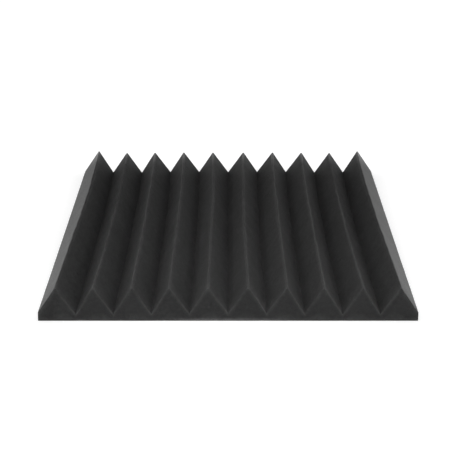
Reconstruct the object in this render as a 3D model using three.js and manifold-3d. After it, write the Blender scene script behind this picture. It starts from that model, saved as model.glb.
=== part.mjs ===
// A square acoustic foam tile with straight wedges, lying on its back.
// X runs across the wedges, Y along them and Z up, away from the wall that the tile is glued to.
// The origin is the middle of the back, on the surface that the tile lies on. Millimetres.
import * as THREE from "three";
import { mergeVertices, toCreasedNormals } from "three/addons/utils/BufferGeometryUtils.js";
import Module from "manifold-3d";

const wasm = await Module();
wasm.setup();

// Foam
const panelWidth = 500;
const panelLength = 500;
const foamBase = 10.7;
const wedgePitch = 50.2;
const wedgeHeight = 38.3;
const crestRadius = 1.1;
const rootRadius = 0.5;
const bottomEdgeRadius = 1;

// Self-adhesive backing
const adhesiveThickness = 0.2;
const linerThickness = 0.1;
const backingInset = 4;
const backingCornerRadius = 3;
const linerSlit = 0.3;

// How far a cutting outline runs past what it cuts
const overrun = 5;

// Facets in one rounded corner, and the angle between faces past which an edge is drawn sharp
const cornerFacets = 5;
const creaseAngle = Math.PI / 6;

// Heights, from the surface up
const foamBottom = linerThickness + adhesiveThickness;
const rootLevel = foamBottom + foamBase;
const crestLevel = rootLevel + wedgeHeight;

// The whole number of wedges that comes nearest to the width. What they span past the walls is cut off.
const wedgeCount = Math.round(panelWidth / wedgePitch);
const wedgeSpan = wedgeCount * wedgePitch;

// Where the film and the paper on it end, short of the foam's walls
const backingSide = panelWidth / 2 - backingInset;
const backingEnd = panelLength / 2 - backingInset;

const foamMaterial = new THREE.MeshStandardMaterial({ color: "#343434", roughness: 0.95, metalness: 0 });
const adhesiveMaterial = new THREE.MeshStandardMaterial({ color: "#d9d3c0", roughness: 0.35, metalness: 0 });
const linerMaterial = new THREE.MeshStandardMaterial({ color: "#eeeae0", roughness: 0.5, metalness: 0 });

// The points of one corner of an outline: the corner itself, or an arc tangent to both its sides.
function cornerPoints(before, corner, after) {
  const here = new THREE.Vector2(corner.x, corner.y);
  if (corner.radius === 0) return [here];
  const back = new THREE.Vector2(before.x, before.y).sub(here).normalize();
  const ahead = new THREE.Vector2(after.x, after.y).sub(here).normalize();
  const halfAngle = Math.acos(back.dot(ahead)) / 2;
  const toTangent = corner.radius / Math.tan(halfAngle);
  const toCentre = corner.radius / Math.sin(halfAngle);
  const centre = back.clone().add(ahead).setLength(toCentre).add(here);
  const start = here.clone().addScaledVector(back, toTangent).sub(centre).angle();
  const end = here.clone().addScaledVector(ahead, toTangent).sub(centre).angle();
  const clockwise = back.cross(ahead) > 0;
  const arc = new THREE.EllipseCurve(centre.x, centre.y, corner.radius, corner.radius, start, end, clockwise);
  return arc.getPoints(cornerFacets);
}

// A closed outline through corners of { x, y, radius }.
function roundedShape(corners) {
  const points = corners.flatMap((corner, i) => {
    const next = (i + 1) % corners.length;
    return cornerPoints(corners.at(i - 1), corner, corners[next]);
  });
  return new THREE.Shape(points);
}

// An outline drawn in X and Y, extruded along Z and centred on Z = 0.
function alongZ(shape, depth) {
  const geometry = new THREE.ExtrudeGeometry(shape, { depth, bevelEnabled: false });
  return geometry.translate(0, 0, -depth / 2);
}

// An outline drawn in X and Z, extruded along Y.
function alongY(shape, depth) {
  return alongZ(shape, depth).rotateX(Math.PI / 2);
}

// An outline drawn in Y and Z, extruded along X.
function alongX(shape, depth) {
  return alongY(shape, depth).rotateZ(Math.PI / 2);
}

function solidOf(geometry) {
  const bare = geometry.clone();
  bare.deleteAttribute("normal");
  bare.deleteAttribute("uv");
  const merged = mergeVertices(bare);
  const mesh = new wasm.Mesh({
    numProp: 3,
    vertProperties: merged.attributes.position.array,
    triVerts: new Uint32Array(merged.index.array),
  });
  return new wasm.Manifold(mesh);
}

function geometryOf(solid) {
  const { vertProperties, triVerts } = solid.getMesh();
  const geometry = new THREE.BufferGeometry();
  geometry.setAttribute("position", new THREE.BufferAttribute(vertProperties, 3));
  geometry.setIndex(new THREE.BufferAttribute(triVerts, 1));
  return toCreasedNormals(geometry, creaseAngle);
}

// The blade's path through the block: roots and crests in turn, and on at root level past the last roots.
function wedgeOutline() {
  const end = Math.max(panelWidth, wedgeSpan) / 2 + overrun;
  const low = foamBottom - overrun;
  const corners = [
    { x: -end, y: low, radius: 0 },
    { x: -end, y: rootLevel, radius: 0 },
  ];
  for (let i = 0; i < wedgeCount; i++) {
    const left = i * wedgePitch - wedgeSpan / 2;
    corners.push({ x: left, y: rootLevel, radius: rootRadius });
    corners.push({ x: left + wedgePitch / 2, y: crestLevel, radius: crestRadius });
  }
  corners.push({ x: wedgeSpan / 2, y: rootLevel, radius: rootRadius });
  corners.push({ x: end, y: rootLevel, radius: 0 });
  corners.push({ x: end, y: low, radius: 0 });
  return roundedShape(corners);
}

// The block seen from one end, with its two bottom edges rounded. It is as wide as given.
function blockOutline(width) {
  const side = width / 2;
  const high = crestLevel + overrun;
  return roundedShape([
    { x: -side, y: foamBottom, radius: bottomEdgeRadius },
    { x: side, y: foamBottom, radius: bottomEdgeRadius },
    { x: side, y: high, radius: 0 },
    { x: -side, y: high, radius: 0 },
  ]);
}

// One block of foam, cut to wedges on top and trimmed to its four walls.
function foamPanel() {
  const wedges = solidOf(alongY(wedgeOutline(), panelLength + overrun));
  const sideWalls = solidOf(alongY(blockOutline(panelWidth), panelLength + overrun));
  const endWalls = solidOf(alongX(blockOutline(panelLength), panelWidth + overrun));
  const foam = wedges.intersect(sideWalls).intersect(endWalls);
  return new THREE.Mesh(geometryOf(foam), foamMaterial);
}

function adhesiveLayer() {
  const outline = roundedShape([
    { x: -backingSide, y: -backingEnd, radius: backingCornerRadius },
    { x: backingSide, y: -backingEnd, radius: backingCornerRadius },
    { x: backingSide, y: backingEnd, radius: backingCornerRadius },
    { x: -backingSide, y: backingEnd, radius: backingCornerRadius },
  ]);
  const layer = new THREE.Mesh(alongZ(outline, adhesiveThickness), adhesiveMaterial);
  layer.position.z = linerThickness + adhesiveThickness / 2;
  return layer;
}

// Half of the release paper, from the slit in its middle outwards. side is 1 on the right and -1 on the left.
function releaseLiner(side) {
  const slit = (side * linerSlit) / 2;
  const outer = side * backingSide;
  const outline = roundedShape([
    { x: slit, y: -backingEnd, radius: 0 },
    { x: outer, y: -backingEnd, radius: backingCornerRadius },
    { x: outer, y: backingEnd, radius: backingCornerRadius },
    { x: slit, y: backingEnd, radius: 0 },
  ]);
  const liner = new THREE.Mesh(alongZ(outline, linerThickness), linerMaterial);
  liner.position.z = linerThickness / 2;
  return liner;
}

const pieces = {
  foam_panel: foamPanel(),
  adhesive_layer: adhesiveLayer(),
  release_liner_left: releaseLiner(-1),
  release_liner_right: releaseLiner(1),
};

const panel = new THREE.Group();
for (const [name, mesh] of Object.entries(pieces)) {
  mesh.name = name;
  panel.add(mesh);
}

export default panel;
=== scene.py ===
# The looks of an acoustic foam tile: its cut foam surface, materials, a white stage, lights and a camera.
# Lengths are in metres. X runs across the wedges, Y along them and Z up.
import math

import bpy
import numpy as np
from mathutils import Matrix, Vector, noise

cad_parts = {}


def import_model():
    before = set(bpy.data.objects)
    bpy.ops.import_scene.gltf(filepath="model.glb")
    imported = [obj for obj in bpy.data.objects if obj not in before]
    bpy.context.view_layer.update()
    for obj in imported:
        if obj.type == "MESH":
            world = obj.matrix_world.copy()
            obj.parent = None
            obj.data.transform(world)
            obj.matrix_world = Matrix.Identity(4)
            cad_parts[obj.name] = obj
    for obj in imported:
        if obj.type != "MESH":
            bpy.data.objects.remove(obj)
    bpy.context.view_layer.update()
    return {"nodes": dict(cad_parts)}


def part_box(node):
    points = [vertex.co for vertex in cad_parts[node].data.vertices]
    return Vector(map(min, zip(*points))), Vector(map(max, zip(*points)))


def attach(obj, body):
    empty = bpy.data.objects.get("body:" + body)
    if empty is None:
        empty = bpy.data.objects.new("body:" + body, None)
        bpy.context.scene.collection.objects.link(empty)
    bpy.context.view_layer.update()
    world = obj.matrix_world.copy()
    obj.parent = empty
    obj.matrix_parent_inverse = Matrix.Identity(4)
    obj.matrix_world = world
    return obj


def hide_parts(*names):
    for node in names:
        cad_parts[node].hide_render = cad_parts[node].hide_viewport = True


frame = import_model()

MM = 0.001

# The cut of the foam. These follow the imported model's own sizes.
WEDGES = 10
PITCH = 50.2 * MM
BASE = 10.7 * MM
WEDGE_HEIGHT = 38.3 * MM

# Foam has no sharp edges: the radius of each kind of corner in the cut, and of the rim of each end.
CREST_RADIUS = 1.5 * MM
ROOT_RADIUS = 0.15 * MM
WALL_TOP_RADIUS = 1.5 * MM
BOTTOM_RADIUS = 1.0 * MM
END_RADIUS = 1.5 * MM

# A corner that stands out keeps at least this radius where an end's rim moves it in.
LEAST_RADIUS = 0.05 * MM

# The foot of each side wall stands out by this much.
FOOT_SPREAD = 0.5 * MM

# Along the bottom an end's rim is this share as high as elsewhere.
BOTTOM_RIM_SHARE = 0.3

# How far the blade strayed, in millimetres: the outward steps and the rises of the crests and of the roots
# at three places along them, each from the middle of the tile out to its side, and the rises of the side
# walls' tops. A lean with the bow's own sign shifts the bow of a line to the back, and another to the front.
CREST_STEPS = {
    "front": (1.2, 1.2, -0.5, 0.0, -0.85),
    "middle": (-1.3, -1.0, -2.4, -4.5, -5.0),
    "back": (1.2, 1.7, 1.4, -0.4, -2.1),
    "lean": (-0.5, -2.3, -1.6, -0.2, -2.2),
}
CREST_RISES = {
    "front": (0.4, 0.5, 0.95, 0.95, 0.65),
    "middle": (0.1, 0.2, 0.2, -0.1, 1.2),
    "back": (0.05, 0.2, -0.2, -0.75, 2.5),
}
ROOT_STEPS = {
    "front": (0.0, 0.4, 0.3, 0.1, -0.7),
    "middle": (0.0, -1.8, -2.5, -2.6, -3.4),
    "back": (0.0, 0.4, 0.4, 0.3, -0.1),
    "lean": (0.0, -0.4, -1.6, -1.3, -1.5),
}
ROOT_RISES = {
    "front": (0.6, 0.3, -0.3, -0.45, -0.45),
    "middle": (0.4, 0.5, 0.1, -0.45, -0.2),
    "back": (0.7, 1.15, 1.05, 0.0, 0.45),
}
WALL_TOP_RISES = {"front": (1.45,), "middle": (1.9,), "back": (2.4,)}

# Slow waves in every crest and root line: wavelength and height of each wave.
WAVES = ((310 * MM, 0.30 * MM), (117 * MM, 0.22 * MM), (43 * MM, 0.18 * MM), (21 * MM, 0.11 * MM))
WAVE_SEED = 11

# Unevenness of the cut faces: the size of its lumps, and how far they stand out.
LUMPS = ((26 * MM, 0.16 * MM), (9 * MM, 0.08 * MM))
LUMP_SEED = 5

# Mesh density: the steps in an arc, the points' shares of a slope and of a wall, the steps in an end's rim,
# how far from the rim the next loops lie on the end's face and on the walls, and the gap between the others.
ARC_STEPS = 6
SLOPE_SHARES = (0.035, 0.09, 0.2, 0.4, 0.6, 0.8, 0.93)
WALL_SHARES = (0.1, 0.35, 0.7)
END_STEPS = 4
END_INSETS = (2.0 * MM, 2.7 * MM, 3.6 * MM, 4.8 * MM)
STATION_GAP = 5 * MM

# How far from a crest its own tone and roughness reach.
CREST_REACH = 3.8 * MM

# Edges are painted lighter: painted light where more light falls on them, painted floor light on
# the bottom edges, and real fray as well at the ends' rims. How far that reaches from the ends' rims,
# along the ends of the slopes, and from the side walls' tops, the upright edges, the bottom edges and
# the outer slopes' rims, each with the share of light that it adds at the edge.
RIM_FRAY_AND_LIGHT = (4.0 * MM, 0.36)
SLOPE_END_LIGHT = (22 * MM, 0.25)
WALL_TOP_LIGHT = (5.0 * MM, 0.18)
UPRIGHT_LIGHT = (13 * MM, 0.45)
BOTTOM_FLOOR_LIGHT = (5.5 * MM, 0.9)
OUTER_RIM_LIGHT = (7 * MM, 0.5)

# How much narrower the painted light of the slopes' ends is on an end's face, and that of the outer rims on
# the slopes.
FACE_NARROWING = 5
SLOPE_NARROWING = 4

# Painted light lightens the grooves, as more light reaches them from the front: how far from a root it
# reaches, and its share of light there.
GROOVE_LIGHT_REACH = 25 * MM
GROOVE_LIGHT_SHARE = 0.24

# The grooves' painted light thins out towards the back: the y at which none would be left, and the length
# over which it fades.
GROOVE_LIGHT_END = 300 * MM
GROOVE_LIGHT_FADE = 330 * MM

# It thins out towards the sides too, where this share of it is missing.
GROOVE_LIGHT_THINNING = 0.7

# The back ends of the crests get painted light, as from light behind the tile: how far along the crest
# and down its slopes, and how much lighter.
BACK_END_LIGHT_LENGTH = 55 * MM
BACK_END_LIGHT_DEPTH = 28 * MM
BACK_END_LIGHT_SHARE = 2.2

# The crest lines get painted shade, darker by a share of light, and painted light towards the back:
# length and share added.
CREST_FADE = 0.15
CREST_BACK_LIGHT = (112 * MM, 2.9)

# The front ends of the two outer slopes get painted shade: length and share of light taken.
OUTER_END_FADE = (33 * MM, 0.66)

foam_low, foam_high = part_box("foam_panel")
root_level = foam_low.z + BASE


def arc_points(before, corner, after, radius):
    """The points of an arc of this radius that is tangent to both sides of a corner, in order."""
    back = (before - corner) / np.linalg.norm(before - corner)
    ahead = (after - corner) / np.linalg.norm(after - corner)
    half_angle = math.acos(back @ ahead) / 2
    middle = (back + ahead) / np.linalg.norm(back + ahead)
    centre = corner + middle * radius / math.sin(half_angle)
    start = corner + back * radius / math.tan(half_angle) - centre
    end = corner + ahead * radius / math.tan(half_angle) - centre
    sweep = math.atan2(start[0] * end[1] - start[1] * end[0], start @ end)
    angles = math.atan2(start[1], start[0]) + sweep * np.linspace(0, 1, ARC_STEPS + 1)
    return centre + radius * np.column_stack((np.cos(angles), np.sin(angles)))


def between(start, end, shares):
    """Points on a straight line, at these shares of its length."""
    return [start + (end - start) * share for share in shares]


def wave_lines(count):
    """A function that gives the height of a line's own waves, from the line's number and y."""
    rng = np.random.default_rng(WAVE_SEED)
    phases = rng.uniform(0, 2 * math.pi, (count, len(WAVES)))

    def strays(line, y):
        return sum(
            height * math.sin(2 * math.pi * y / length + phase)
            for (length, height), phase in zip(WAVES, phases[line])
        )

    return strays


def share_of_length(y):
    """0 at the front end and 1 at the back end."""
    return (y - foam_low.y) / (foam_high.y - foam_low.y)


def halfway(share):
    """1 halfway along the tile, and 0 at both of its ends."""
    return 4 * share * (1 - share)


def bowed(table, rank, share):
    """The table's value for a rank at a share of the length, on a curve through front, middle and back."""
    front, middle, back = (table[place][rank] * MM for place in ("front", "middle", "back"))
    straight = front + share * (back - front)
    bow = middle - (front + back) / 2
    if "lean" in table:
        bow += table["lean"][rank] * MM * (2 * share - 1)
    return straight + halfway(share) * bow


class FoamCut:
    """The corners that the blade left across the foam, at any place along it."""

    def __init__(self):
        self.lines = 2 * WEDGES - 1
        self.waves = wave_lines(2 * self.lines)

    def corner(self, from_middle, y, level, steps, rises, line):
        """A crest or root at y: its even place, its stray, and its waves, which die out at the ends."""
        rank = int(abs(from_middle))
        share = share_of_length(y)
        free = halfway(share)
        step = math.copysign(1, from_middle) * bowed(steps, rank, share)
        x = from_middle * PITCH + step + free * self.waves(line, y)
        z = level + bowed(rises, rank, share) + free * self.waves(self.lines + line, y)
        return x, z

    def crests(self, y):
        middle, level = (WEDGES - 1) / 2, root_level + WEDGE_HEIGHT
        return [self.corner(i - middle, y, level, CREST_STEPS, CREST_RISES, 2 * i) for i in range(WEDGES)]

    def roots(self, y):
        middle, level, count = WEDGES / 2 - 1, root_level, WEDGES - 1
        return [self.corner(i - middle, y, level, ROOT_STEPS, ROOT_RISES, 2 * i + 1) for i in range(count)]

    def wall_tops(self, y):
        """Where the outer slopes meet the side walls."""
        z = root_level + bowed(WALL_TOP_RISES, 0, share_of_length(y))
        return [(foam_low.x, z), (foam_high.x, z)]

    def corners(self, y):
        """Corners and radii at y: up the left wall, across the wedges and down the right wall."""
        left_top, right_top = self.wall_tops(y)
        crests, roots = self.crests(y), self.roots(y)
        wedges = [crests[0]]
        for root, crest in zip(roots, crests[1:]):
            wedges += [root, crest]
        left_foot = (foam_low.x - FOOT_SPREAD, foam_low.z)
        right_foot = (foam_high.x + FOOT_SPREAD, foam_low.z)
        places = [left_foot, left_top, *wedges, right_top, right_foot]
        inner_radii = [ROOT_RADIUS if i % 2 else CREST_RADIUS for i in range(len(wedges))]
        radii = [BOTTOM_RADIUS, WALL_TOP_RADIUS, *inner_radii, WALL_TOP_RADIUS, BOTTOM_RADIUS]
        return np.array(places), np.array(radii)


def moved_in(places, radii, inset):
    """A clockwise outline's corners moved in by inset, with the radii that keep its arcs parallel."""
    along = np.roll(places, -1, axis=0) - places
    along /= np.linalg.norm(along, axis=1, keepdims=True)
    before = np.roll(along, 1, axis=0)
    outward = np.column_stack((-along[:, 1], along[:, 0]))
    outward_before = np.roll(outward, 1, axis=0)
    mitre = (outward + outward_before) / (1 + (outward * outward_before).sum(axis=1, keepdims=True))
    stands_out = before[:, 0] * along[:, 1] < before[:, 1] * along[:, 0]
    new_radii = np.where(stands_out, np.maximum(radii - inset, LEAST_RADIUS), radii + inset)
    return places - inset * mitre, new_radii


def outline_at(cut, y, inset=0):
    """The foam's outline at y, as the points of its top, right wall, bottom and left wall.

    The top and the bottom run from left to right, and both walls downwards.
    """
    places, radii = moved_in(*cut.corners(y), inset)
    places[[0, -1], 1] = foam_low.z + inset * BOTTOM_RIM_SHARE
    arcs = [
        arc_points(places[i - 1], place, places[(i + 1) % len(places)], radius)
        for i, (place, radius) in enumerate(zip(places, radii))
    ]
    top = [*arcs[1]]
    for last, arc in zip(arcs[1:], arcs[2:-1]):
        top += between(last[-1], arc[0], SLOPE_SHARES)
        top += [*arc]
    left = [*between(arcs[1][0], arcs[0][-1], WALL_SHARES), *arcs[0][:0:-1]]
    right = [*between(arcs[-2][-1], arcs[-1][0], WALL_SHARES), *arcs[-1][:-1]]
    bottom = np.linspace(arcs[0][0], arcs[-1][-1], len(top))
    return np.array(top), np.array(right), bottom, np.array(left)


def station(cut, outline_y, y, inset=0):
    """The outline at outline_y as one closed loop of points that lies at y, clockwise from the front."""
    top, right, bottom, left = outline_at(cut, outline_y, inset)
    loop = np.concatenate((top, right, bottom[::-1], left[::-1]))
    return np.column_stack((loop[:, 0], np.full(len(loop), y), loop[:, 1]))


def end_stations(cut, end):
    """Loops from inside an end's face over its rim to the walls. end is 1 at the back and -1 in front."""
    y = end * foam_high.y
    loops = [station(cut, y, y, inset) for inset in END_INSETS[::-1]]
    for turn in np.linspace(math.pi / 2, 0, END_STEPS + 1):
        inwards = y - end * END_RADIUS * (1 - math.sin(turn))
        loops.append(station(cut, y, inwards, END_RADIUS * (1 - math.cos(turn))))
    loops += [station(cut, y - end * inset, y - end * inset) for inset in END_INSETS]
    return loops


def middle_stations(cut):
    """Evenly spaced loops between those of the two ends."""
    margin = END_INSETS[-1] + STATION_GAP
    first, last = foam_low.y + margin, foam_high.y - margin
    count = round((last - first) / STATION_GAP) + 1
    return [station(cut, y, y) for y in np.linspace(first, last, count)]


def cap_grid(loop, columns, rows):
    """An end face as a grid of points, (row, column), blended from its edges: the loop's four runs."""
    top = loop[:columns]
    right = loop[columns : columns + rows]
    bottom = loop[columns + rows : 2 * columns + rows][::-1]
    left = loop[2 * columns + rows :][::-1]
    left_edge = np.vstack((top[:1], left, bottom[:1]))
    right_edge = np.vstack((top[-1:], right, bottom[-1:]))
    steps = np.linalg.norm(np.diff(left_edge, axis=0), axis=1)
    v = np.concatenate(((0,), np.cumsum(steps))) / steps.sum()
    u = (bottom[:, 0] - bottom[0, 0]) / (bottom[-1, 0] - bottom[0, 0])
    u, v = u[None, :, None], v[:, None, None]
    across = (1 - u) * left_edge[:, None] + u * right_edge[:, None]
    down = (1 - v) * top[None] + v * bottom[None]
    corners = (1 - v) * ((1 - u) * top[0] + u * top[-1]) + v * ((1 - u) * bottom[0] + u * bottom[-1])
    return across + down - corners


def grid_indices(columns, rows, loop_start, inner_start):
    """The vertex number of each point of a cap grid: the loop's on its edge, and its own inside it."""
    size = 2 * (columns + rows)
    loop = loop_start + np.arange(size)
    grid = np.zeros((rows + 2, columns), int)
    grid[0] = loop[:columns]
    grid[1:-1, -1] = loop[columns : columns + rows]
    grid[-1] = loop[columns + rows : 2 * columns + rows][::-1]
    grid[1:-1, 0] = loop[2 * columns + rows :][::-1]
    grid[1:-1, 1:-1] = inner_start + np.arange(rows * (columns - 2)).reshape(rows, columns - 2)
    return grid


def grid_faces(grid, flipped):
    """Four-sided faces between the neighbouring vertex numbers of a grid."""
    corners = (grid[:-1, :-1], grid[:-1, 1:], grid[1:, 1:], grid[1:, :-1])
    quads = np.stack(corners, axis=-1).reshape(-1, 4)
    return quads[:, ::-1] if flipped else quads


def with_lumps(points):
    """Points of the cut faces, moved by the foam's unevenness. The flat bottom stays flat."""
    noise.seed_set(LUMP_SEED)
    moved = []
    for point in points:
        place = Vector(point)
        rise = min(1, (place.z - foam_low.z) / BASE)
        for size, height in LUMPS:
            x, y, z = noise.noise_vector(Vector(point) / size) * height
            place += Vector((x, y, z * rise))
        moved.append(place)
    return moved


def faded(away, reach):
    """1 at no distance, and less and less further away, down to 0 at reach."""
    return np.clip(1 - away / reach, 0, 1)


def to_nearest(x, z, places):
    """How far each point is from the nearest of these places, as seen from the front."""
    return np.hypot(x[:, None] - places[:, 0], z[:, None] - places[:, 1]).min(axis=1)


def depth_in_foam(x, z, surface):
    """How deep each point lies under the slopes, measured square to them. surface holds their corners."""
    slant = math.sin(math.atan2(PITCH / 2, WEDGE_HEIGHT))
    return np.maximum((np.interp(x, surface[:, 0], surface[:, 1]) - z) * slant, 0)


def groove_light_at_root(x, y):
    """The share of painted light added in the bottom of a groove."""
    along = np.clip((GROOVE_LIGHT_END - y) / GROOVE_LIGHT_FADE, 0, 1)
    across = 1 - GROOVE_LIGHT_THINNING * np.abs(x) / foam_high.x
    return GROOVE_LIGHT_SHARE * along * across


def light_and_wear_of(points, cut):
    """For points at one y: how near a crest, and their tone, 1 where no light, shade or fray is painted."""
    x, y, z = points.T
    to_side, to_end = foam_high.x - np.abs(x), foam_high.y - np.abs(y)
    to_front, to_back, to_bottom = y - foam_low.y, foam_high.y - y, z - foam_low.z
    crests, roots = np.array(cut.crests(y[0])), np.array(cut.roots(y[0]))
    from_crest, from_root = to_nearest(x, z, crests), to_nearest(x, z, roots)
    places, _ = cut.corners(y[0])
    below = depth_in_foam(x, z, places[1:-1])
    on_surface = faded(below, END_RADIUS)
    outer = np.clip((np.abs(x) - crests[-1, 0]) / CREST_REACH, 0, 1)
    outer_reach, outer_share = OUTER_RIM_LIGHT
    back_end_away = np.hypot(from_crest / BACK_END_LIGHT_DEPTH, to_back / BACK_END_LIGHT_LENGTH)
    # Every edge here adds painted light; at the ends' rims it is real fray as well.
    edges = (
        (np.hypot(below, to_end), *RIM_FRAY_AND_LIGHT),
        (np.hypot(FACE_NARROWING * below, to_end), *SLOPE_END_LIGHT),
        (np.hypot(below, to_side), *WALL_TOP_LIGHT),
        (np.hypot(to_side, to_end), *UPRIGHT_LIGHT),
        (np.hypot(to_bottom, np.minimum(to_side, to_end)), *BOTTOM_FLOOR_LIGHT),
        (np.hypot(below, SLOPE_NARROWING * to_end), outer_reach, outer_share * outer),
        (back_end_away, 1, BACK_END_LIGHT_SHARE * on_surface),
        (from_root, GROOVE_LIGHT_REACH, groove_light_at_root(x, y) * on_surface),
    )
    lighter = sum(share * faded(away, reach) for away, reach, share in edges)
    crest = faded(from_crest, CREST_REACH)
    back_light_length, back_light_share = CREST_BACK_LIGHT
    # Painted shade on the crest lines, and painted light at their back ends.
    crest_tone = back_light_share * faded(to_back, back_light_length) - CREST_FADE
    fade_length, fade_share = OUTER_END_FADE
    # Painted shade at the outer slopes' front ends.
    darker = fade_share * faded(to_front, fade_length) * outer * on_surface
    return crest, (1 + lighter) * (1 - darker) * (1 + crest_tone * crest)


def foam_block():
    """The foam as one closed mesh: rings of faces along it, and a grid on each end."""
    cut = FoamCut()
    top, right, _, _ = outline_at(cut, 0)
    columns, rows = len(top), len(right)
    front, back = end_stations(cut, -1), end_stations(cut, 1)
    loops = [*front, *middle_stations(cut), *back[::-1]]
    size = len(loops[0])
    rings = np.arange(len(loops) * size).reshape(len(loops), size)
    rings = np.hstack((rings, rings[:, :1]))
    faces = [grid_faces(rings, flipped=False)]
    points = [*loops]
    inner_start = len(loops) * size
    for place, flipped in ((0, True), (len(loops) - 1, False)):
        grid = cap_grid(loops[place], columns, rows)
        points.append(grid[1:-1, 1:-1].reshape(-1, 3))
        indices = grid_indices(columns, rows, place * size, inner_start)
        faces.append(grid_faces(indices, flipped))
        inner_start += rows * (columns - 2)
    # The tone holds painted light and shade, and the fray of the ends' rims.
    crest, tone = np.hstack([light_and_wear_of(group, cut) for group in points])
    mesh = bpy.data.meshes.new("foam_block")
    mesh.from_pydata(with_lumps(np.concatenate(points)), [], np.concatenate(faces).tolist())
    mesh.shade_smooth()
    for name, values in (("crest", crest), ("tone", tone)):
        mesh.attributes.new(name, "FLOAT", "POINT").data.foreach_set("value", values)
    block = bpy.data.objects.new("foam_block", mesh)
    bpy.context.scene.collection.objects.link(block)
    return block


def add_node(tree, kind, inputs=None, **settings):
    """Adds a node, sets its properties and fills its inputs, each with a value or another node's output."""
    made = tree.nodes.new(kind)
    for name, value in settings.items():
        setattr(made, name, value)
    for key, value in (inputs or {}).items():
        if isinstance(value, bpy.types.NodeSocket):
            tree.links.new(value, made.inputs[key])
        else:
            made.inputs[key].default_value = value
    return made


def maths(tree, operation, *inputs):
    return add_node(tree, "ShaderNodeMath", dict(enumerate(inputs)), operation=operation).outputs[0]


def vector_maths(tree, operation, *inputs, output="Vector"):
    made = add_node(tree, "ShaderNodeVectorMath", dict(enumerate(inputs)), operation=operation)
    return made.outputs[output]


def product(tree, *factors):
    result = factors[0]
    for factor in factors[1:]:
        result = maths(tree, "MULTIPLY", result, factor)
    return result


def ranged(tree, value, low, high, to_low, to_high):
    """value, with low to high turned into to_low to to_high, and clamped there."""
    inputs = {"Value": value, 1: low, 2: high, 3: to_low, 4: to_high}
    return add_node(tree, "ShaderNodeMapRange", inputs).outputs[0]


def own_places(tree):
    """Places in metres, fixed to the object that has the material."""
    return add_node(tree, "ShaderNodeTexCoord").outputs["Object"]


def noise_pattern(tree, places, scale, detail, roughness=0.5):
    """Cloudy noise with scale blotches to the metre."""
    inputs = {"Vector": places, "Scale": scale, "Detail": detail, "Roughness": roughness}
    return add_node(tree, "ShaderNodeTexNoise", inputs).outputs["Fac"]


def tinted(tree, shade, colour):
    """The colour, with each channel times the shade."""
    channels = dict(zip(("Red", "Green", "Blue"), colour))
    inputs = {channel: product(tree, shade, value) for channel, value in channels.items()}
    return add_node(tree, "ShaderNodeCombineColor", inputs).outputs[0]


def new_material(name):
    material = bpy.data.materials.new(name)
    material.use_nodes = True
    tree = material.node_tree
    tree.nodes.clear()
    shader = add_node(tree, "ShaderNodeBsdfPrincipled")
    add_node(tree, "ShaderNodeOutputMaterial", {"Surface": shader.outputs[0]})
    return material, tree, shader


# The foam's grey, and the sizes of its cells, of the clusters and clouds in them, and of the wide cells that
# each hold a pore or a speck.
FOAM_GREY = 0.0369
CELL_SIZE = 1.0 * MM
CLUSTER_SIZE = 5 * MM
CLOUD_SIZE = 30 * MM
PORE_SIZE = 11 * MM
SPECK_SIZE = 7 * MM

# How detailed the clusters and clouds are, and how rough the clouds.
FOAM_DETAIL = 3
CLOUD_ROUGHNESS = 0.65

# What each pattern makes of the grey: two of the pattern's values, and the share of light at each of them.
CELL_SHADE = (0.1, 0.6, 0.86, 1.11)
CLUSTER_SHADE = (0.3, 0.7, 0.86, 1.14)
CLOUD_SHADE = (0.3, 0.7, 0.87, 1.13)
# The pores' darker grey is painted shade in their hollows.
PORE_SHADE = (0.03, 0.06, 0.6, 1.0)
SPECK_SHADE = (0, 1, 1.0, 1.5)
PAINTED_BOUNCE_SHADE = (0, 1.2, 1.0, 2.9)

# In the same form: a speck's edge, the choice of the cells that have one, and the patches in the painted
# floor light.
SPECK_EDGE = (0.05, 0.09, 1, 0)
SPECK_CHOICE = (0.6, 0.8, 0, 1)
PAINTED_BOUNCE_PATCHES = (0.35, 0.6, 0.8, 1.1)

# In the same form: the relief of clusters and pores, on top of the cells' own. Then how strongly it shows.
CLUSTER_RELIEF = (0, 1, 0, 0.8)
PORE_RELIEF = (0, 0.06, -1.5, 0)
FOAM_BUMP = {"Strength": 0.35, "Distance": 0.4 * MM}

# In the same form: the roughness that the cells give, and what the crests add to it. Then the specular level.
CELL_ROUGHNESS = (0.1, 0.6, 0.84, 0.76)
CREST_ROUGHNESS = (0, 1, 0, 0.15)
FOAM_SPECULAR = 0.2

# A stretch of the front's bottom edge painted lighter, as light from the floor falls on it: how far from
# the middle it is whole and where it has ended, and how far it goes up the face and inwards.
PAINTED_BOUNCE_WHOLE = 40 * MM
PAINTED_BOUNCE_END = 95 * MM
PAINTED_BOUNCE_HEIGHT = 5.6 * MM
PAINTED_BOUNCE_DEPTH = 8 * MM

# Small pits painted as dark shade, and lips and crumbs painted as highlights: place and radius in
# millimetres, and share of light.
MARKS = (
    ((-22.3, -250.0, 25.5), 2.2, -0.4),
    ((-25.3, -250.0, 21.3), 2.0, 0.5),
    ((22.3, -250.0, 25.0), 2.2, -0.4),
    ((25.2, -250.0, 21.5), 3.2, 0.4),
    ((30.5, -250.0, 21.3), 5.0, 0.12),
    ((-208.1, -163.0, 24.8), 4.0, -0.5),
    ((-212.6, -174.2, 32.1), 3.0, 0.15),
    ((-53.0, 52.0, 16.5), 6.0, -0.45),
    ((-39.3, 6.3, 26.5), 3.5, 0.35),
    ((-28.5, -13.8, 42.6), 3.0, 0.3),
    ((162.4, -127.5, 31.7), 3.0, -0.35),
    ((158.8, -123.9, 26.2), 3.5, -0.35),
    ((14.3, -49.2, 34.4), 3.5, 0.2),
    ((15.4, -60.9, 36.4), 3.5, -0.25),
)


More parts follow.
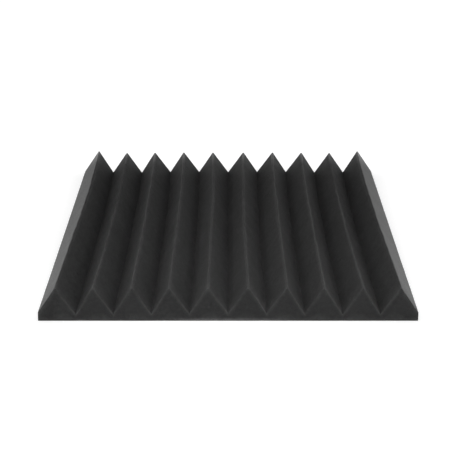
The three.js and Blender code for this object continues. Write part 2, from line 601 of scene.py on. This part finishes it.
def painted_bounce_mask(tree, places):
    """1 where floor light is painted along the front's bottom edge, fading sideways, upwards and inwards."""
    split = add_node(tree, "ShaderNodeSeparateXYZ", {0: places}).outputs
    across = ranged(tree, maths(tree, "ABSOLUTE", split["X"]), PAINTED_BOUNCE_WHOLE, PAINTED_BOUNCE_END, 1, 0)
    upwards = ranged(tree, split["Z"], foam_low.z, foam_low.z + PAINTED_BOUNCE_HEIGHT, 1, 0)
    inwards = ranged(tree, split["Y"], foam_low.y, foam_low.y + PAINTED_BOUNCE_DEPTH, 1, 0)
    return product(tree, across, upwards, inwards)


def marked(tree, places):
    """The painted shade and highlights of the small marks, as a share of light: 1 away from them all."""
    shade = 1.0
    for place, radius, share in MARKS:
        at = tuple(length * MM for length in place)
        away = vector_maths(tree, "DISTANCE", places, at, output="Value")
        shade = maths(tree, "ADD", shade, ranged(tree, away, 0, radius * MM, share, 0))
    return shade


def foam_material():
    """Charcoal open-cell foam: cells, pores, dust specks, fray, painted light and shade, a matte surface."""
    material, tree, shader = new_material("open_cell_foam")
    places = own_places(tree)

    def cell_pattern(size):
        return add_node(tree, "ShaderNodeTexVoronoi", {"Vector": places, "Scale": 1 / size}).outputs

    def attribute(name):
        return add_node(tree, "ShaderNodeAttribute", attribute_name=name).outputs["Fac"]

    cells = cell_pattern(CELL_SIZE)["Distance"]
    clusters = noise_pattern(tree, places, 1 / CLUSTER_SIZE, FOAM_DETAIL)
    clouds = noise_pattern(tree, places, 1 / CLOUD_SIZE, FOAM_DETAIL, CLOUD_ROUGHNESS)
    pores = cell_pattern(PORE_SIZE)["Distance"]
    specks = cell_pattern(SPECK_SIZE)
    chance = add_node(tree, "ShaderNodeSeparateColor", {0: specks["Color"]}).outputs[0]
    speck = product(tree, ranged(tree, specks["Distance"], *SPECK_EDGE), ranged(tree, chance, *SPECK_CHOICE))
    # Painted floor light along the middle of the front's bottom edge.
    painted_bounce = product(tree, painted_bounce_mask(tree, places), ranged(tree, clusters, *PAINTED_BOUNCE_PATCHES))
    shades = (
        ranged(tree, cells, *CELL_SHADE),
        ranged(tree, clusters, *CLUSTER_SHADE),
        ranged(tree, clouds, *CLOUD_SHADE),
        ranged(tree, pores, *PORE_SHADE),
        ranged(tree, speck, *SPECK_SHADE),
        ranged(tree, painted_bounce, *PAINTED_BOUNCE_SHADE),
        marked(tree, places),
        # The tone: painted light and shade, and the fray of the ends' rims.
        attribute("tone"),
    )
    grey = product(tree, FOAM_GREY, *shades)
    colour = add_node(tree, "ShaderNodeCombineColor", {"Red": grey, "Green": grey, "Blue": grey})
    tree.links.new(colour.outputs[0], shader.inputs["Base Color"])

    relief = maths(tree, "ADD", cells, ranged(tree, clusters, *CLUSTER_RELIEF))
    relief = maths(tree, "ADD", relief, ranged(tree, pores, *PORE_RELIEF))
    bump = add_node(tree, "ShaderNodeBump", {"Height": relief, **FOAM_BUMP})
    tree.links.new(bump.outputs[0], shader.inputs["Normal"])

    rougher = ranged(tree, attribute("crest"), *CREST_ROUGHNESS)
    roughness = maths(tree, "ADD", ranged(tree, cells, *CELL_ROUGHNESS), rougher)
    tree.links.new(roughness, shader.inputs["Roughness"])
    shader.inputs["Specular IOR Level"].default_value = FOAM_SPECULAR
    return material


# The release paper: its colour, how many fibres and ripples it has to the metre and how detailed they are,
# and what they make of its shade, relief and roughness, in the same form as for the foam.
PAPER_COLOUR = (0.85, 0.82, 0.74)
PAPER_FIBRES = (900.0, 4.0)
PAPER_RIPPLES = (22.0, 2.0)
FIBRE_SHADE = (0.3, 0.7, 0.96, 1.02)
RIPPLE_SHADE = (0.3, 0.7, 0.97, 1.02)
RIPPLE_RELIEF = (0.3, 0.7, 0, 12)
RIPPLE_ROUGHNESS = (0.3, 0.7, 0.35, 0.5)
PAPER_BUMP = {"Strength": 0.4, "Distance": 0.05 * MM}


def liner_material():
    """Siliconised paper: a warm white with faint fibres, slight ripples and a waxy shine."""
    material, tree, shader = new_material("release_paper")
    places = own_places(tree)
    fibres = noise_pattern(tree, places, *PAPER_FIBRES)
    ripples = noise_pattern(tree, places, *PAPER_RIPPLES)
    shade = product(tree, ranged(tree, fibres, *FIBRE_SHADE), ranged(tree, ripples, *RIPPLE_SHADE))
    tree.links.new(tinted(tree, shade, PAPER_COLOUR), shader.inputs["Base Color"])
    tree.links.new(ranged(tree, ripples, *RIPPLE_ROUGHNESS), shader.inputs["Roughness"])
    relief = maths(tree, "ADD", fibres, ranged(tree, ripples, *RIPPLE_RELIEF))
    bump = add_node(tree, "ShaderNodeBump", {"Height": relief, **PAPER_BUMP})
    tree.links.new(bump.outputs[0], shader.inputs["Normal"])
    return material


# The adhesive: its colour, how many blotches it has to the metre and how detailed they are, and what they
# make of its shade and roughness.
ADHESIVE_COLOUR = (0.69, 0.65, 0.53)
ADHESIVE_BLOTCHES = (60.0, 3.0)
BLOTCH_SHADE = (0.3, 0.7, 0.9, 1.05)
BLOTCH_ROUGHNESS = (0.3, 0.7, 0.25, 0.45)


def adhesive_material():
    """Acrylic adhesive on a thin scrim: yellowish, glossy and a little uneven."""
    material, tree, shader = new_material("adhesive_film")
    blotches = noise_pattern(tree, own_places(tree), *ADHESIVE_BLOTCHES)
    shade = ranged(tree, blotches, *BLOTCH_SHADE)
    tree.links.new(tinted(tree, shade, ADHESIVE_COLOUR), shader.inputs["Base Color"])
    tree.links.new(ranged(tree, blotches, *BLOTCH_ROUGHNESS), shader.inputs["Roughness"])
    return material


# The floor's width, its own glow beside the tile and in the open, and how wide the step between them is.
FLOOR_SIZE = 8.0
FLOOR_SHINE = 0.73
OPEN_SHINE = 1.0
SHINE_REACH = 60 * MM

# How light the floor is to the camera on top of its glow, and to all other rays.
FLOOR_SHADE = 0.44
FLOOR_WHITE = 0.78

# The strength of the dome of light, and of the white that mirrored rays see.
AMBIENT = 0.166
MIRRORED_WORLD = 0.8


def seen_directly(tree):
    """1 for the rays that see the background or its mirror image, and 0 for those that carry its light."""
    rays = add_node(tree, "ShaderNodeLightPath")
    mirrored = maths(tree, "MAXIMUM", rays.outputs["Is Glossy Ray"], rays.outputs["Is Transmission Ray"])
    return maths(tree, "MAXIMUM", rays.outputs["Is Camera Ray"], mirrored)


def floor_glow(tree):
    """The floor's glow: weaker close to the tile, so that its shadow shows there."""
    mirrored = vector_maths(tree, "ABSOLUTE", own_places(tree))
    outside = vector_maths(tree, "SUBTRACT", mirrored, (foam_high.x, foam_high.y, 0))
    outside = vector_maths(tree, "MAXIMUM", outside, (0, 0, 0))
    away = vector_maths(tree, "LENGTH", outside, output="Value")
    return ranged(tree, away, 0, SHINE_REACH, FLOOR_SHINE, OPEN_SHINE)


def diffuse(tree, shade):
    return add_node(tree, "ShaderNodeBsdfDiffuse", {"Color": (shade, shade, shade, 1)}).outputs[0]


def floor():
    bpy.ops.mesh.primitive_plane_add(size=FLOOR_SIZE)
    plane = bpy.context.object
    plane.name = "floor"
    material = bpy.data.materials.new("white_floor")
    material.use_nodes = True
    tree = material.node_tree
    tree.nodes.clear()
    glow = add_node(tree, "ShaderNodeEmission", {"Strength": floor_glow(tree)}).outputs[0]
    shown = add_node(tree, "ShaderNodeAddShader", {0: diffuse(tree, FLOOR_SHADE), 1: glow}).outputs[0]
    inputs = {0: seen_directly(tree), 1: diffuse(tree, FLOOR_WHITE), 2: shown}
    mix = add_node(tree, "ShaderNodeMixShader", inputs)
    add_node(tree, "ShaderNodeOutputMaterial", {"Surface": mix.outputs[0]})
    plane.data.materials.append(material)


def world():
    """An even dome of soft light. The camera sees it as white, and reflections see it a little darker."""
    made = bpy.data.worlds.new("studio")
    bpy.context.scene.world = made
    made.use_nodes = True
    tree = made.node_tree
    tree.nodes.clear()
    white = (1, 1, 1, 1)
    in_camera = add_node(tree, "ShaderNodeLightPath").outputs["Is Camera Ray"]
    shown = ranged(tree, in_camera, 0, 1, MIRRORED_WORLD, 1)
    ambient = add_node(tree, "ShaderNodeBackground", {"Color": white, "Strength": AMBIENT})
    backdrop = add_node(tree, "ShaderNodeBackground", {"Color": white, "Strength": shown})
    inputs = {0: seen_directly(tree), 1: ambient.outputs[0], 2: backdrop.outputs[0]}
    mix = add_node(tree, "ShaderNodeMixShader", inputs)
    add_node(tree, "ShaderNodeOutputWorld", {"Surface": mix.outputs[0]})


# Softboxes: place, the point that each faces, width and height, and power in watts.
SOFTBOXES = {
    "left_strip": ((-0.8, 0.12, 0.055), (0, 0.12, 0.055), (0.3, 0.1), 4.87),
    "right_strip": ((0.8, 0.12, 0.055), (0, 0.12, 0.055), (0.3, 0.1), 4.87),
    "front_end_softbox": ((0, -0.3, 0.35), (0, -0.25, 0), (0.7, 0.2), 0.894),
}

# Narrow lamps, each on its own half of the tile: place, the point that it faces, beam in degrees, and watts.
NARROW_LAMPS = {
    "left_key": ((-1.1, -1.1, 0.9), (-0.13, -0.2, 0.03), 14, 15.9),
    "right_key": ((1.1, -1.1, 0.9), (0.13, -0.2, 0.03), 14, 15.9),
    "left_side": ((-1.2, 0.3, 1.0), (-0.14, 0.12, 0.03), 16, 3.5),
    "right_side": ((1.2, 0.3, 1.0), (0.14, 0.12, 0.03), 16, 3.5),
}

# The radius of a narrow lamp's bulb.
NARROW_RADIUS = 0.08

# A gridded softbox for each half of the tile, from its own side, front and above. For the right one: the
# middle of its half, the direction and distance from there to it, its width and length, spread and power.
BEAM_AIM = Vector((0.125, 0, 0.03))
BEAM_DIRECTION = Vector((0.395, -0.707, 0.586))
BEAM_DISTANCE = 1.2
BEAM_SIZE = (0.207, 0.7)
BEAM_SPREAD = math.radians(4)
BEAM_WATTS = 0.0363


def place_lamp(light, name, place, aim, watts):
    """Stands a lamp at its place, out of the camera's sight, and turns it to the point that it faces."""
    light.energy = watts
    made = bpy.data.objects.new(name, light)
    made.location = place
    made.rotation_euler = (Vector(aim) - Vector(place)).to_track_quat("-Z", "Y").to_euler()
    made.visible_camera = False
    bpy.context.scene.collection.objects.link(made)
    return made


def rectangle_light(name, size):
    light = bpy.data.lights.new(name, "AREA")
    light.shape = "RECTANGLE"
    light.size, light.size_y = size
    return light


def softbox(name, place, aim, size, watts):
    place_lamp(rectangle_light(name, size), name, place, aim, watts)


def narrow_lamp(name, place, aim, beam, watts):
    light = bpy.data.lights.new(name, "SPOT")
    light.spot_size = math.radians(beam)
    light.spot_blend = 1
    light.shadow_soft_size = NARROW_RADIUS
    place_lamp(light, name, place, aim, watts)


def gridded_beam(name, side):
    """Lights one half of the tile alone. side is 1 on the right and -1 on the left."""
    light = rectangle_light(name, BEAM_SIZE)
    light.spread = BEAM_SPREAD
    mirror = Vector((side, 1, 1))
    aim, back = BEAM_AIM * mirror, (BEAM_DIRECTION * mirror).normalized()
    made = place_lamp(light, name, aim + BEAM_DISTANCE * back, aim, BEAM_WATTS)
    # Its length stays along the wedges
    across = Vector((0, 1, 0)).cross(back).normalized()
    made.rotation_euler = Matrix((across, back.cross(across), back)).transposed().to_euler()


# The camera, as the photograph was taken.
CAMERA_ELEVATION = math.radians(24.9)
CAMERA_DISTANCE = 1.6237
CAMERA_AIM = Vector((0, 0.0415, 0))
CAMERA_LENS = 81.49
CAMERA_SHIFT_X = -0.0003


def camera():
    data = bpy.data.cameras.new("camera")
    data.lens = CAMERA_LENS
    data.shift_x = CAMERA_SHIFT_X
    made = bpy.data.objects.new("camera", data)
    back = Vector((0, -math.cos(CAMERA_ELEVATION), math.sin(CAMERA_ELEVATION)))
    made.location = CAMERA_AIM + CAMERA_DISTANCE * back
    made.rotation_euler = (math.pi / 2 - CAMERA_ELEVATION, 0, 0)
    bpy.context.scene.collection.objects.link(made)
    bpy.context.scene.camera = made


block = foam_block()
block.data.materials.append(foam_material())
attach(block, "root")
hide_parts("foam_panel")

liner = liner_material()
backing = {"adhesive_layer": adhesive_material(), "release_liner_left": liner, "release_liner_right": liner}
for name, material in backing.items():
    frame["nodes"][name].data.materials.clear()
    frame["nodes"][name].data.materials.append(material)

floor()
world()
for name, settings in SOFTBOXES.items():
    softbox(name, *settings)
for name, settings in NARROW_LAMPS.items():
    narrow_lamp(name, *settings)
gridded_beam("left_beam", -1)
gridded_beam("right_beam", 1)
camera()
bpy.context.scene.view_settings.view_transform = "Standard"
